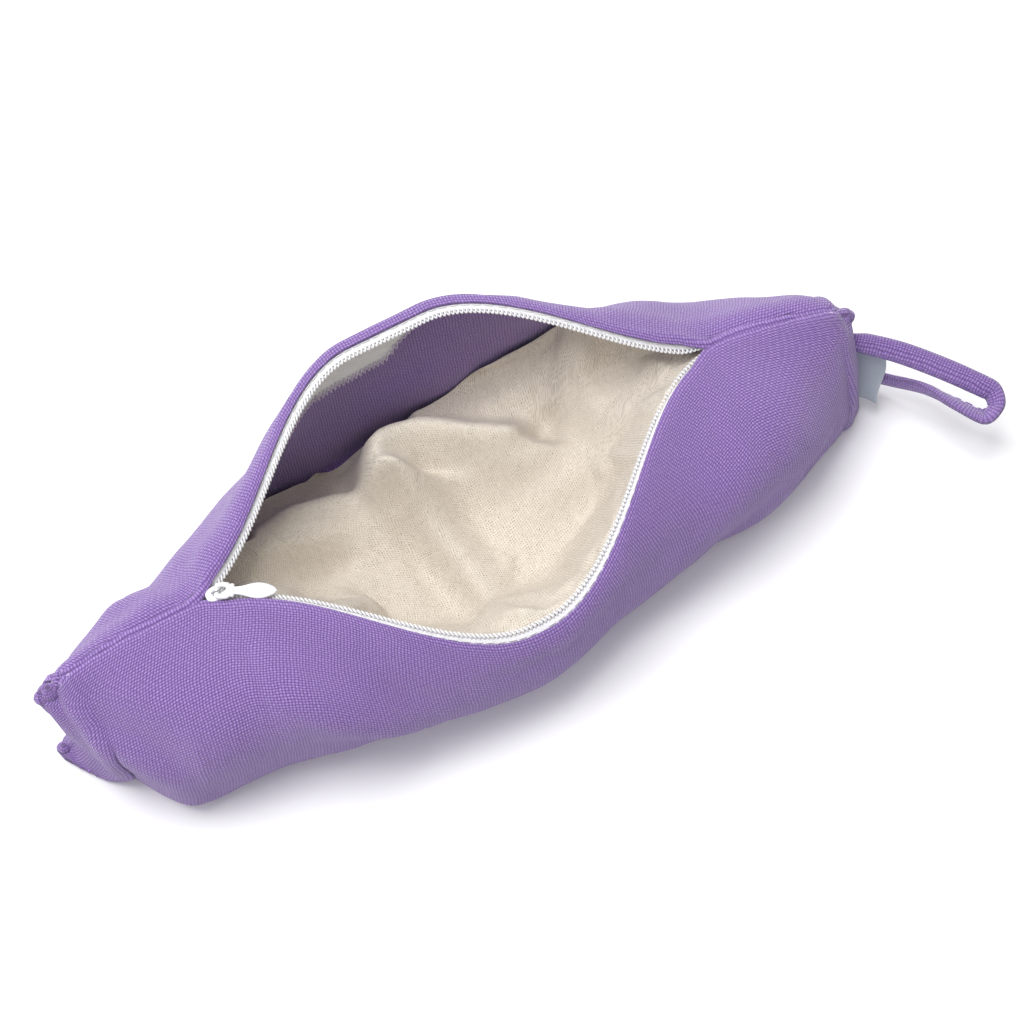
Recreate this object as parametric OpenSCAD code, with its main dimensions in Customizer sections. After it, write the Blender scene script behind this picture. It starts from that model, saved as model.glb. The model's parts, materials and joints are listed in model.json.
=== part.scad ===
// Flat zip pencil case: canvas pouch, wide open mouth, loose calico lining, coil zip,
// slider with teardrop pull, strap loop and folded blank label in the right side seam.
// Millimetres. X runs along the zip, Y from the near wall to the far wall, Z up.
// The origin is the centre of the base on the floor. Shown open.

/* [Pouch] */

// thickness of the canvas
canvas_t = 1.2; // [1:0.1:1.3]

// half the length of the free mouth walls
wall_half = 82; // [80:0.5:82.2]

// half the distance between the two side seams
tip_x = 130; // [124:0.5:134]

// height of the closed zip line above the floor
seam_z = 52; // [51.8:0.1:52]

// radius of the bulging near wall
bulge_r = 24.7; // [24.7:0.1:25.4]

/* [Lining] */

// thickness of the calico lying on the base
lining_t = 1.4; // [1:0.1:2]

/* [Zip] */

// half the length of the left part of the coil
coil_left = 80; // [78:0.5:81]

// reach of the coil towards the right zip end
coil_right = 62; // [58:0.5:63]

// radius of the nylon coil
coil_r = 0.75; // [0.6:0.05:0.75]

// thickness of the woven tape
tape_t = 0.5; // [0.4:0.05:0.5]

/* [Pull] */

// length of the pull from its bar to its tip
pull_len = 17; // [15:0.5:18]

// widest part of the pull
pull_w = 4.7; // [4:0.1:5.2]

// turn of the resting pull away from the zip line, in degrees
pull_yaw = -28; // [-34:1:-22]

/* [Strap and label] */

// width of the folded strap
strap_w = 8; // [7:0.5:9]

// length of the strap loop
strap_len = 47; // [42:1:52]

// height of the label
label_h = 20; // [16:0.5:20]

/* [Hidden] */

$fn = 48;
gap = 0.1;
pull_pivot_z = seam_z + 3.05;
rest_x = -78;

// near wall: a bulging arc about a centre above the near base edge
near_pivot_y = -20;
bulge_y = -38;
bulge_z = bulge_r + canvas_t / 2;
pivot_reach = norm([bulge_y - near_pivot_y, bulge_z]);
edge_reach = norm([near_pivot_y, seam_z]);
edge_turn = acos((edge_reach * edge_reach - pivot_reach * pivot_reach - bulge_r * bulge_r)
    / (2 * pivot_reach * bulge_r));
near_edge_a = atan2(bulge_z, bulge_y - near_pivot_y) - edge_turn;
near_edge_y = bulge_y + bulge_r * cos(near_edge_a);
near_edge_z = bulge_z + bulge_r * sin(near_edge_a);
near_open = atan2(near_edge_z, near_edge_y - near_pivot_y) - atan2(seam_z, -near_pivot_y);

// far wall: a leaning plate about the far base edge
far_pivot_y = 38;
far_len = norm([far_pivot_y, seam_z]);
far_lean = 83.7;
far_open = 180 - atan2(seam_z, far_pivot_y) - far_lean;

base_half = 82.6;
base_near = -18.4;
base_far = 36.4;
shell_x = 83;
edge_free = 4.2;
hem_a = edge_free / bulge_r * 180 / PI;

canvas = [0.52, 0.42, 0.72];
canvas_dark = [0.45, 0.36, 0.62];
calico = [0.88, 0.84, 0.78];
zip_white = [0.93, 0.93, 0.94];

// turns something drawn at the closed zip out to the open near wall
module near_wall_open() {
    translate([0, near_pivot_y, 0])
        rotate([near_open, 0, 0])
            translate([0, -near_pivot_y, 0])
                children();
}

// turns something drawn at the closed zip out to the open far wall
module far_wall_open() {
    translate([0, far_pivot_y, 0])
        rotate([-far_open, 0, 0])
            translate([0, -far_pivot_y, 0])
                children();
}

// a bar along X whose section is drawn in the YZ plane
module along_x(x0, x1) {
    translate([x0, 0, 0])
        rotate([90, 0, 90])
            linear_extrude(height = x1 - x0)
                children();
}

// a ring sector about the centre of the near bulge, from angle a0 to a1
module bulge_sector(r0, r1, a0, a1) {
    far = r1 * 3;
    mid = (a0 + a1) / 2;
    translate([bulge_y, bulge_z])
        intersection() {
            difference() {
                circle(r = r1, $fn = 96);
                circle(r = r0, $fn = 96);
            }
            polygon([[0, 0],
                [far * cos(a0), far * sin(a0)],
                [far * cos((a0 + mid) / 2), far * sin((a0 + mid) / 2)],
                [far * cos(mid), far * sin(mid)],
                [far * cos((a1 + mid) / 2), far * sin((a1 + mid) / 2)],
                [far * cos(a1), far * sin(a1)]]);
        }
}

module near_section() {
    bulge_sector(bulge_r - canvas_t / 2, bulge_r + canvas_t / 2, near_edge_a + hem_a, 270);
    translate([bulge_y, 0])
        square([near_pivot_y - bulge_y - 0.4, canvas_t]);
}

module front_panel() {
    color(canvas)
        along_x(-wall_half, wall_half)
            near_section();
}

module front_tape() {
    outer = bulge_r - canvas_t / 2 - gap;
    reach = 1.9 / bulge_r * 180 / PI;
    color(zip_white)
        along_x(-coil_left, coil_right)
            bulge_sector(outer - tape_t, outer, near_edge_a + reach, near_edge_a + 3 * hem_a);
}

module front_coil() {
    color(zip_white)
        near_wall_open()
            translate([-coil_left, -coil_r - gap / 2, seam_z - 1])
                rotate([0, 90, 0])
                    cylinder(r = coil_r, h = coil_left + coil_right);
}

// short thread bars in a row, each a separate solid
module stitch_row(x0, x1, pitch, length, r) {
    for (x = [x0 : pitch : x1])
        translate([x, 0, 0])
            rotate([0, 90, 0])
                cylinder(r = r, h = length, $fn = 12);
}

module front_zip_thread() {
    r = bulge_r - canvas_t / 2 - 2 * gap - tape_t - 0.2;
    a = near_edge_a + 2 * hem_a;
    color(canvas_dark)
        translate([0, bulge_y + r * cos(a), bulge_z + r * sin(a)])
            stitch_row(-coil_left + 2, coil_right - 4, 4, 2.8, 0.2);
}

module lining_front() {
    outer = bulge_r - canvas_t / 2 - tape_t - 0.8;
    color(calico)
        along_x(-wall_half + 4, wall_half - 4)
            bulge_sector(outer - 0.8, outer, near_edge_a + 3.2 * hem_a, 255);
}

// the far wall is drawn lying from its base edge towards its top edge
module far_plate(x0, x1, s0, s1, t0, t1) {
    translate([0, far_pivot_y, 0])
        rotate([far_lean - 90, 0, 0])
            translate([x0, t0, s0])
                cube([x1 - x0, t1 - t0, s1 - s0]);
}

module back_panel() {
    color(canvas)
        far_plate(-wall_half, wall_half, 0.6, far_len - edge_free - 1, 0, canvas_t);
}

module back_tape() {
    color(zip_white)
        far_plate(-coil_left, coil_right, far_len - 15, far_len - 2.2, -gap - tape_t, -gap);
}

module back_coil() {
    color(zip_white)
        far_wall_open()
            translate([-coil_left, coil_r + gap / 2, seam_z - 1])
                rotate([0, 90, 0])
                    cylinder(r = coil_r, h = coil_left + coil_right);
}

module back_zip_thread() {
    color(canvas_dark)
        translate([0, far_pivot_y, 0])
            rotate([far_lean - 90, 0, 0])
                translate([0, -2 * gap - tape_t - 0.2, far_len - 8])
                    stitch_row(-coil_left + 2, coil_right - 4, 4, 2.8, 0.2);
}

// ladder of thread bars over the free edge of the far zip tape
module back_overlock() {
    color(canvas)
        for (x = [-coil_left + 1 : 3 : coil_right - 2])
            far_plate(x, x + 0.6, far_len - 18, far_len - 15 - gap, -gap - tape_t, -gap);
}

module base_panel() {
    color(canvas)
        translate([-base_half, base_near, 0])
            cube([2 * base_half, base_far - base_near, canvas_t]);
}

// outline of an end shell where it meets the mouth, in the YZ plane, set in by t
module end_outline(t) {
    ridge = seam_z + 1.2;
    polygon([
        [-34 + t, t],
        [-52 + t, 8 + t / 2],
        [-58 + t, 22],
        [-54 + t, 36 - t / 2],
        [-42 + t / 2, 46 - t],
        [0, ridge - t],
        [42 - t / 2, 46 - t],
        [43 - t, 26],
        [38 - t, t]
    ]);
}

// leaning slab of the side seam between the floor tip and the top tip
module seam_slab(side, t) {
    near_low = side < 0 ? -4 : -20;
    near_top = side < 0 ? -2 : -9;
    half = 1.6 - t;
    polygon_x = side * (tip_x - t) - (side > 0 ? 0.6 : 0);
    translate([polygon_x, 0, 0])
        rotate([90, 0, 90])
            linear_extrude(height = 0.6)
                polygon([
                    [near_low - half, t],
                    [near_low + half, t],
                    [near_top + half, 48 - t],
                    [near_top - half, 48 - t]
                ]);
}

module end_shell(side) {
    difference() {
        hull() {
            along_x(side > 0 ? shell_x : -shell_x - 0.6, side > 0 ? shell_x + 0.6 : -shell_x)
                end_outline(0);
            seam_slab(side, 0);
        }
        hull() {
            along_x(side > 0 ? shell_x - 1 : -shell_x - 0.6, side > 0 ? shell_x + 0.6 : -shell_x + 1)
                end_outline(canvas_t);
            seam_slab(side, canvas_t);
        }
    }
}

module left_end() {
    color(canvas)
        end_shell(-1);
}

module right_end() {
    color(canvas)
        end_shell(1);
}

// seam thread inside the closed top seam, under the ridge
module seam_thread(side) {
    drop = 0.11;
    for (i = [0 : 9])
        translate([side * (shell_x + 2 + i * 3.6), 0, seam_z - 2.6 - i * 3.6 * drop])
            rotate([0, side * 90, 0])
                cylinder(r = 0.2, h = 2.4, $fn = 12);
}

module left_seam_thread() {
    color(canvas_dark)
        seam_thread(-1);
}

module right_seam_thread() {
    color(canvas_dark)
        seam_thread(1);
}

// calico lying rumpled on the base, with low soft folds
module lining_floor() {
    fold_r = 5;
    color(calico) {
        translate([-base_half + 1, base_near + 2, canvas_t + gap])
            cube([2 * base_half - 2, base_far - base_near - 6, lining_t]);
        for (fold = [[-62, 4], [-20, 12], [24, 2], [58, 10]])
            translate([fold[0], fold[1] - 10, canvas_t + gap])
                intersection() {
                    rotate([-90, 0, 0])
                        cylinder(r = fold_r, h = 18);
                    translate([-fold_r, 0, 0])
                        cube([2 * fold_r, 18, fold_r]);
                }
    }
}

module tape_end(side) {
    x0 = side > 0 ? shell_x + 1 : -shell_x - 15;
    for (half = [-1, 1])
        translate([x0, half > 0 ? 0.3 : -0.3 - tape_t, seam_z - 11])
            cube([14, tape_t, 5.5]);
}

module left_tape_end() {
    color(zip_white)
        tape_end(-1);
}

module right_tape_end() {
    color(zip_white)
        tape_end(1);
}

// thread bars that close the two ends of the zip
module end_tacks() {
    color(zip_white)
        for (side = [-1, 1])
            for (row = [0 : 3])
                translate([side * (shell_x + 3), 0, seam_z - 10.5 + row * 1.2])
                    rotate([90, 0, 0])
                        cylinder(r = 0.25, h = 0.56, $fn = 12, center = true);
}

// slider: two plates and a leading post between them
module slider_body() {
    color(zip_white)
        translate([rest_x, 0, seam_z]) {
            for (low = [-2.9, 1.35])
                translate([0, 0, low])
                    linear_extrude(height = 0.9)
                        union() {
                            translate([-2.2, -2.4])
                                square([4.6, 4.8]);
                            translate([-1.6, 0])
                                circle(r = 2.4);
                            translate([1.8, 0])
                                circle(r = 2.4);
                        }
            translate([2.4, 0, -2.5])
                cylinder(r = 0.9, h = 4.4);
        }
}

// staple over the slider that the pull hangs from
module slider_bridge() {
    top = seam_z + 2.25 + gap / 10;
    color([0.72, 0.72, 0.74])
        translate([rest_x, 0, top])
            difference() {
                translate([-2.1, -0.6, 0])
                    cube([4.2, 1.2, 2.2]);
                translate([-1.5, -1, -1])
                    cube([3, 2, 2.6]);
            }
}

// pull: a bar under the staple, two arms and a teardrop
module pull_tab() {
    neck = 3.4;
    wide = pull_len - 6.2;
    tip_r = 1.3;
    color(zip_white)
        translate([rest_x, 0, pull_pivot_z])
            rotate([0, 0, pull_yaw]) {
                rotate([90, 0, 0])
                    cylinder(r = 0.5, h = 5.2, center = true);
                for (side = [-1, 1])
                    translate([0, side > 0 ? 1.7 : -2.6, -0.5])
                        cube([neck, 0.9, 1]);
                translate([0, 0, -0.5])
                    linear_extrude(height = 1)
                        union() {
                            translate([2.6, -2.6])
                                square([1.4, 5.2]);
                            polygon([
                                [3.9, -1.5], [3.9, 1.5],
                                [wide - 2, pull_w / 2 - 0.1], [wide, pull_w / 2],
                                [wide + 2, pull_w / 2 - 0.3],
                                [pull_len - 0.9, 1.1], [pull_len - 0.9, -1.1],
                                [wide + 2, -pull_w / 2 + 0.3],
                                [wide, -pull_w / 2], [wide - 2, -pull_w / 2 + 0.1]
                            ]);
                            translate([pull_len - tip_r, 0])
                                circle(r = tip_r);
                        }
            }
}

// frame beside the right side seam: X out along the strap, Z nearly up
module at_right_seam(up) {
    translate([tip_x + 2.6, -16, up])
        rotate([0, 12, 0])
            rotate([0, 0, -48])
                children();
}

// strap: a folded strip bent into a long loop
module strap_loop() {
    far_r = 6;
    near_r = 0.6;
    t = 1.8;
    reach = strap_len - far_r;
    color(canvas)
        at_right_seam(34)
            translate([0, 0, -strap_w / 2])
                linear_extrude(height = strap_w)
                    difference() {
                        union() {
                            circle(r = near_r + t / 2);
                            translate([reach, 0])
                                circle(r = far_r);
                            polygon([[0, -near_r - t / 2], [reach, -far_r],
                                [reach, far_r], [0, near_r + t / 2]]);
                        }
                        translate([reach, 0])
                            circle(r = far_r - t);
                        polygon([[14, 0], [reach, -far_r + t], [reach, far_r - t]]);
                    }
}

// blank folded label standing out of the side seam below the strap
module label_tab() {
    color([0.62, 0.66, 0.7])
        translate([tip_x + 1.2, -17, 6])
            rotate([0, 0, -35])
                linear_extrude(height = label_h)
                    difference() {
                        union() {
                            translate([0, -0.8])
                                square([7, 1.6]);
                            for (x = [0, 7])
                                translate([x, 0])
                                    circle(r = 0.8);
                        }
                        translate([0.6, -0.3])
                            square([6.4, 0.6]);
                    }
}

base_panel();
left_end();
right_end();
left_seam_thread();
right_seam_thread();
lining_floor();
left_tape_end();
right_tape_end();
end_tacks();
front_panel();
front_tape();
front_coil();
front_zip_thread();
lining_front();
back_panel();
back_tape();
back_coil();
back_zip_thread();
back_overlock();
slider_body();
slider_bridge();
pull_tab();
strap_loop();
label_tab();
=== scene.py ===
import bpy
import json
import math
import numpy as np
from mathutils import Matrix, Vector, noise


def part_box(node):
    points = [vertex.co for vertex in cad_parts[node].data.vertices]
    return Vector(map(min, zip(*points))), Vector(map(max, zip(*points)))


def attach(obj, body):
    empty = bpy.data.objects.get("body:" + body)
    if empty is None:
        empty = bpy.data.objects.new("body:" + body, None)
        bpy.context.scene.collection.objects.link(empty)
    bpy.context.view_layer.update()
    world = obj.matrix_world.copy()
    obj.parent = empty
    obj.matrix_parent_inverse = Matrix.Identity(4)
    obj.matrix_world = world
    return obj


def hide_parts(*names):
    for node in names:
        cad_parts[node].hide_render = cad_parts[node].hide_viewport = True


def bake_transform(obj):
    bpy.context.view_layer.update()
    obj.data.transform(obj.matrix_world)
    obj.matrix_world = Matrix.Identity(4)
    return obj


MM = 0.001
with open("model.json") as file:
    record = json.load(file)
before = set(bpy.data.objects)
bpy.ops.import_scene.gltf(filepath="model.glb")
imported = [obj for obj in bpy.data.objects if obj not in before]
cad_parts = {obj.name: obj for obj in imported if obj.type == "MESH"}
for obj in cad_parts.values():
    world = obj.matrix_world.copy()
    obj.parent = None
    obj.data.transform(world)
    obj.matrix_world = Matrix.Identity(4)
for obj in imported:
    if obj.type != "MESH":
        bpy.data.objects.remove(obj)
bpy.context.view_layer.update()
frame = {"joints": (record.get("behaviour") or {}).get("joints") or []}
JOINTS = {j["name"]: j for j in frame["joints"]}
NEAR = JOINTS["front_wall_close"]
FAR = JOINTS["back_wall_close"]
PULL = JOINTS["pull_swing"]
STRAP = JOINTS["strap_swing"]

# ---------------------------------------------------------------- curves

# Places along the pouch, in millimetres, where its cross-section is given.
STATIONS = [-136, -124, -110, -88, -60, -30, 0, 30, 60, 88, 108, 122, 131]


def smooth(t):
    """A ramp from 0 to 1 that starts and ends level."""
    t = np.clip(t, 0, 1)
    return t * t * (3 - 2 * t)


def bell(d, width):
    """1 at d = 0, falling off evenly on both sides."""
    return np.exp(-((d / width) ** 2))


def spline(xs, ys, x):
    """Smooth curve through a few points, without overshoot."""
    xs = np.asarray(xs, float)
    ys = np.asarray(ys, float)
    step = np.diff(xs)
    slope = np.diff(ys) / step
    mean = np.zeros(len(xs))
    inner = (slope[:-1] * step[1:] + slope[1:] * step[:-1]) / (step[:-1] + step[1:])
    mean[1:-1] = np.where(slope[:-1] * slope[1:] > 0, inner, 0)
    limit = 3 * np.minimum(abs(slope[:-1]), abs(slope[1:]))
    mean[1:-1] = np.clip(mean[1:-1], -limit, limit)
    mean[0] = slope[0]
    mean[-1] = slope[-1]
    x = np.clip(x, xs[0], xs[-1])
    i = np.clip(np.searchsorted(xs, x, side="right") - 1, 0, len(xs) - 2)
    h = step[i]
    t = (x - xs[i]) / h
    a = 2 * t**3 - 3 * t**2 + 1
    b = t**3 - 2 * t**2 + t
    c = -2 * t**3 + 3 * t**2
    d = t**3 - t**2
    return a * ys[i] + b * h * mean[i] + c * ys[i + 1] + d * h * mean[i + 1]


def along(values, x):
    """A curve along the pouch, given by one value at each station."""
    return spline(STATIONS, values, x)


# A wall stays with the closed seam at START and follows its joint fully from END inwards.
START = {"near": 87.0, "far": 90.0}
END = {"near": 2.0, "far": 12.0}
PIVOT = {"near": NEAR["pos_m"][1] / MM, "far": FAR["pos_m"][1] / MM}
TURN = {"near": NEAR["range_deg"][1], "far": -FAR["range_deg"][1]}
# The open mouth ends at MOUTH. HEM is the gap from the middle of the closed zip to a canvas edge,
# COIL_REACH the way from that edge to the teeth, and DIP the slope of the tape between them.
MOUTH = 85.0
HEM = 2.0
COIL_REACH = 2.6
DIP = math.acos(HEM / COIL_REACH)


def share(x, wall):
    """How far a point at x follows the wall: 0 at the closed seam, 1 in the middle."""
    return smooth((START[wall] - abs(x)) / (START[wall] - END[wall]))


def seam_line(x):
    """Depth and height of the closed zip and of the closed top seam."""
    y = along([-1, -0.5, 0, 0, 0, 0, 0, 0, 0, 0, -3, -6, -8], x)
    z = along([48, 50.5, 52, 52, 52, 52, 52, 52, 52, 52, 51.5, 50, 47], x)
    return y, z


def hem(x):
    """Share of the full gap between a canvas edge and the middle of the closed zip."""
    return smooth((MOUTH - abs(x)) / 9)


def opened(x, y, z, wall):
    """Turns a point of the closed pouch out to the open mouth."""
    a = np.radians(TURN[wall]) * share(x, wall)
    dy = y - PIVOT[wall]
    return PIVOT[wall] + dy * np.cos(a) - z * np.sin(a), dy * np.sin(a) + z * np.cos(a)


def zip_point(x, wall, reach, lift):
    """A point of a zip side.

    reach goes from the canvas edge to the teeth, and lift goes up from the tape.
    """
    side = -1 if wall == "near" else 1
    y, z = seam_line(x)
    gap = hem(x)
    reach = reach * gap
    y = y + side * (HEM * gap - reach * math.cos(DIP) - lift * math.sin(DIP) * gap)
    z = z - reach * math.sin(DIP) + lift * math.cos(DIP)
    y, z = opened(x, y, z, wall)
    return np.stack([np.broadcast_to(x, np.shape(y)), y, z], -1)


# ---------------------------------------------------------------- canvas shape

HEM_RISE = {"near": 1.1, "far": 1.5}


def shoulder(x, wall):
    """The rolled hem, just outside the canvas edge."""
    side = -1 if wall == "near" else 1
    y, z = seam_line(x)
    gap = hem(x)
    grown = smooth((x - STATIONS[0]) / 7) * smooth((STATIONS[-1] - x) / 7)
    y = y + side * (HEM * gap + 1.3 + 1.2 * gap) * grown
    z = z + (HEM_RISE[wall] + 0.4 * gap) * grown
    return opened(x, y, z, wall)


# Places round the pouch, in millimetres of cloth, from the near zip edge under the base to the far one.
GIRTH = [0, 4, 12, 25, 40, 56, 80, 109, 138, 160, 184, 198, 202]
# The near wall ends, and the far wall starts, at these entries of GIRTH. The base is between them.
NEAR_ROWS = 6
FAR_ROWS = 8
BASE_MIDDLE = GIRTH[7]
# Which end of STATIONS, and the length over which the pouch rounds off there.
END_ROUNDING = ((0, 12.0), (-1, 9.0))

# Depth and height at each station, for the entries of GIRTH between the two hems.
DEPTHS = [
    [-3.0, -14, -24, -33, -43, -53, -56.5, -48.5, -41, -31, -20, -15, -9],
    [-4, -25, -39, -43.5, -50, -57, -59.5, -52, -45.5, -41.5, -32.5, -24, -13],
    [-4.5, -25, -41, -42, -47, -52.5, -55, -48.5, -44, -41, -33.5, -26.5, -17],
    [-4.5, -20.5, -35, -36, -38.5, -41, -42, -38.5, -35.5, -34, -30, -26.5, -20],
    [-4.5, -12, -19, -19, -20, -20, -20, -20, -20, -20, -22, -23, -21],
    [-4.5, -4, -2, 4, 8, 9, 9, 9, 8, 5, -3, -13, -21],
    [-4.5, 1, 11, 27, 35, 38, 38, 37, 35, 29, 16, -2, -20],
    [-4.5, 4, 12, 21, 35, 41, 42.5, 41, 34.5, 26, 14.5, 2, -15],
    [-2, 3, 8.5, 15.5, 27.5, 42.5, 47.5, 43, 29, 16.5, 9.5, 2, -9],
]
HEIGHTS = [
    [43, 45, 46.5, 48, 46, 41, 38, 41, 46, 48, 46.5, 44, 41],
    [28, 30, 28, 26, 25, 25, 25, 25, 26, 27, 27, 27, 28],
    [14, 14, 11, 10, 10, 10, 10, 10, 10, 10, 11, 12, 14],
    [2.4, 2.0, 1.2, 1, 1, 1, 1, 1, 1, 1, 1, 1.2, 3],
    [2.2, 0.9, 0.7, 0.7, 0.7, 0.7, 0.7, 0.7, 0.7, 0.7, 0.7, 0.7, 1.5],
    [2.2, 0.9, 0.7, 0.7, 0.7, 0.7, 0.7, 0.7, 0.7, 0.7, 0.7, 0.7, 1.5],
    [2.2, 1.6, 1, 1, 1, 1, 1, 1, 1, 1, 1, 1.2, 3],
    [14, 18, 21, 22, 22, 22, 22, 22, 22, 22, 22, 20, 14],
    [41, 44, 45, 46, 47, 46, 47, 46, 47, 46, 45, 42, 36],
]


def profile(x):
    """Points round the pouch at each x, from the near zip edge under the base to the far one."""
    near = zip_point(x, "near", 0.0, 0.0)
    far = zip_point(x, "far", 0.0, 0.0)
    near_top = shoulder(x, "near")
    far_top = shoulder(x, "far")
    ys = [near[:, 1], near_top[0], *(along(row, x) for row in DEPTHS), far_top[0], far[:, 1]]
    zs = [near[:, 2], near_top[1], *(along(row, x) for row in HEIGHTS), far_top[1], far[:, 2]]
    for row in range(2, len(GIRTH) - 2):
        for end, span in END_ROUNDING:
            t = np.clip(abs(x - STATIONS[end]) / span, 1e-4, 1.0)
            full = np.sqrt((2 - t) / t)
            ys[row] = ys[row][end] + (ys[row] - ys[row][end]) * full
    left = smooth((-116 - x) / 20)
    right = smooth((x - 118) / 13)
    left_push = [-0.4, -0.8, -0.8, 0.6, 3.6, -2.0, -5.2, -5.2, -3.0, 3.6, -0.8, -0.8, -0.4]
    right_push = [-1.4, -1.2, -0.8, -0.5, 0, 1, 1.5, 1.5, 1, 0, -0.8, -1.2, -1.4]
    xs = [x + left * a + right * b for a, b in zip(left_push, right_push)]
    return np.stack([np.stack(xs), np.stack(ys), np.stack(zs)], -1)


def crease(x, v, x0, v0, x1, v1, amp, width):
    """A soft ridge (amp above 0) or valley along a line on the cloth, fading at both ends."""
    dx, dv = x1 - x0, v1 - v0
    t = ((x - x0) * dx + (v - v0) * dv) / (dx * dx + dv * dv)
    tc = np.clip(t, 0, 1)
    d = np.hypot(x - x0 - tc * dx, v - v0 - tc * dv)
    fade = np.sin(np.pi * np.clip(tc, 0.02, 0.98)) ** 0.6
    return amp * fade * bell(d, width)


def wander(x, v, scale, seed):
    """Smooth noise over the cloth. scale is the size of its bumps in millimetres."""
    flat = np.stack([x.ravel() / scale, v.ravel() / scale, np.full(x.size, seed)], -1)
    got = [noise.noise(Vector(p)) for p in flat]
    return np.array(got).reshape(x.shape)


# Ridges and valleys of the canvas: x0, v0, x1, v1, amp and width of crease().
CREASES = [
    (-80, 9, -40, 26, -3.0, 4.5), (-82, 5, -30, 15, 1.8, 4), (-78, 16, -40, 34, 1.3, 6),
    (-134, 8, -104, 20, 2.2, 6), (-134, 14, -108, 26, -1.6, 5), (-88, 8, -74, 40, 1.4, 8),
    (-60, 40, -14, 36, 1.0, 9), (30, 16, 80, 9, 1.8, 6), (40, 26, 86, 12, -1.8, 6),
    (60, 44, 92, 18, 1.6, 6), (86, 6, 120, 12, 1.2, 5), (90, 12, 120, 34, -1.6, 6),
    (98, 38, 124, 22, 1.5, 6), (20, 42, 60, 48, -1.0, 8), (-52, 10, 6, 12, 0.9, 5),
    (-128, 186, -102, 182, -2.6, 5), (-112, 176, -92, 190, -1.6, 5), (-100, 170, -84, 196, 1.6, 6),
    (58, 194, 84, 180, -2.0, 5), (62, 186, 82, 172, -1.4, 6), (84, 186, 118, 180, 1.2, 8),
    (-40, 150, 30, 160, 1.0, 12), (-90, 150, -60, 170, -1.2, 9), (60, 150, 96, 164, -1.2, 9),
]

# Points of the canvas grid along the pouch and round it, and the lowest place the grid may reach.
NX = 268
NV = 202
GRID_LOWEST = 0.02


def soften(grid, times):
    """Evens a grid of points out down its columns. The first and last row stay."""
    for _ in range(times):
        soft = grid.copy()
        soft[1:-1] = (grid[:-2] + 2 * grid[1:-1] + grid[2:]) / 4
        grid = soft
    return grid


def normals(grid):
    """Unit normals of a grid of points."""
    du = np.gradient(grid, axis=1)
    dv = np.gradient(grid, axis=0)
    n = np.cross(du, dv)
    n /= np.maximum(np.linalg.norm(n, axis=-1, keepdims=True), 1e-9)
    return n


def lattice():
    """The inner face of the canvas as a grid of points."""
    x = np.linspace(STATIONS[0], STATIONS[-1], NX)
    v = np.linspace(GIRTH[0], GIRTH[-1], NV)
    marks = profile(x)
    grid = np.zeros((NV, NX, 3))
    for i in range(NX):
        for k in range(3):
            grid[:, i, k] = spline(GIRTH, marks[:, i, k], v)
    grid = soften(grid, 4)
    normal = normals(grid)
    xx, vv = np.meshgrid(x, v)
    lift = np.zeros_like(xx)
    for c in CREASES:
        lift += crease(xx, vv, *c)
    calm = smooth((45 - abs(vv - BASE_MIDDLE)) / 20)
    end_calm = smooth((xx - STATIONS[0]) / 14) * smooth((STATIONS[-1] - xx) / 14)
    lift += 0.9 * wander(xx, vv, 30, 3.7) + 0.3 * wander(xx, vv, 10, 9.1)
    lift *= (1 - calm) * end_calm
    edge = np.minimum(vv - GIRTH[0], GIRTH[-1] - vv)
    lift *= smooth(edge / 9)
    closed = smooth((abs(xx) - 82) / 8)
    end_roll = smooth((118 - abs(xx)) / 14)
    roll = np.where(vv > BASE_MIDDLE, 0.5 + 0.9 * closed * end_roll, 0.5 - 0.2 * closed)
    lift += roll * bell(edge - 4.6, 2.6) - 0.5 * bell(edge - 10.5, 2.6)
    seam = np.minimum(xx - STATIONS[0], STATIONS[-1] - xx)
    lift += 0.8 * bell(seam - 3.2, 2.2) * (1 - calm)
    lift += 2.2 * bell(xx - STATIONS[0] - 4.0, 4.0) * smooth((34 - edge) / 14)
    lift *= smooth((seam + 0.5) / 4)
    grid = grid + normal * lift[..., None]
    grid[..., 2] = np.maximum(grid[..., 2], GRID_LOWEST)
    return x, grid


def cloth_uv(grid, from_top):
    """Cloth coordinates in millimetres, by the length of the cloth itself."""
    step = np.linalg.norm(np.diff(grid, axis=0), axis=-1)
    down = np.vstack([np.zeros((1, grid.shape[1])), np.cumsum(step, 0)])
    if not from_top:
        down = down[-1:] - down
    side = np.linalg.norm(np.diff(grid, axis=1), axis=-1)
    across = np.hstack([np.zeros((grid.shape[0], 1)), np.cumsum(side, 1)])
    across -= across[:, grid.shape[1] // 2][:, None]
    return np.stack([across, down], -1)


# ---------------------------------------------------------------- meshes


def make(name, points, faces, material, uv=None):
    """A smooth-shaded object from points in millimetres."""
    mesh = bpy.data.meshes.new(name)
    mesh.from_pydata((np.asarray(points) * MM).tolist(), [], faces)
    mesh.validate()
    if uv is not None:
        layer = mesh.uv_layers.new(name="cloth")
        index = np.zeros(len(mesh.loops), np.int32)
        mesh.loops.foreach_get("vertex_index", index)
        layer.data.foreach_set("uv", np.asarray(uv, np.float32)[index].ravel())
    mesh.materials.append(material)
    mesh.polygons.foreach_set("use_smooth", [True] * len(mesh.polygons))
    mesh.update()
    obj = bpy.data.objects.new(name, mesh)
    bpy.context.scene.collection.objects.link(obj)
    return obj


def grid_faces(rows, cols, base=0, flip=False):
    """Quads over a grid of points whose first point has the number base."""
    r, c = np.meshgrid(np.arange(rows - 1), np.arange(cols - 1), indexing="ij")
    a = (base + r * cols + c).ravel()
    quad = np.stack([a, a + 1, a + cols + 1, a + cols], -1)
    return (quad[:, ::-1] if flip else quad).tolist()


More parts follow.
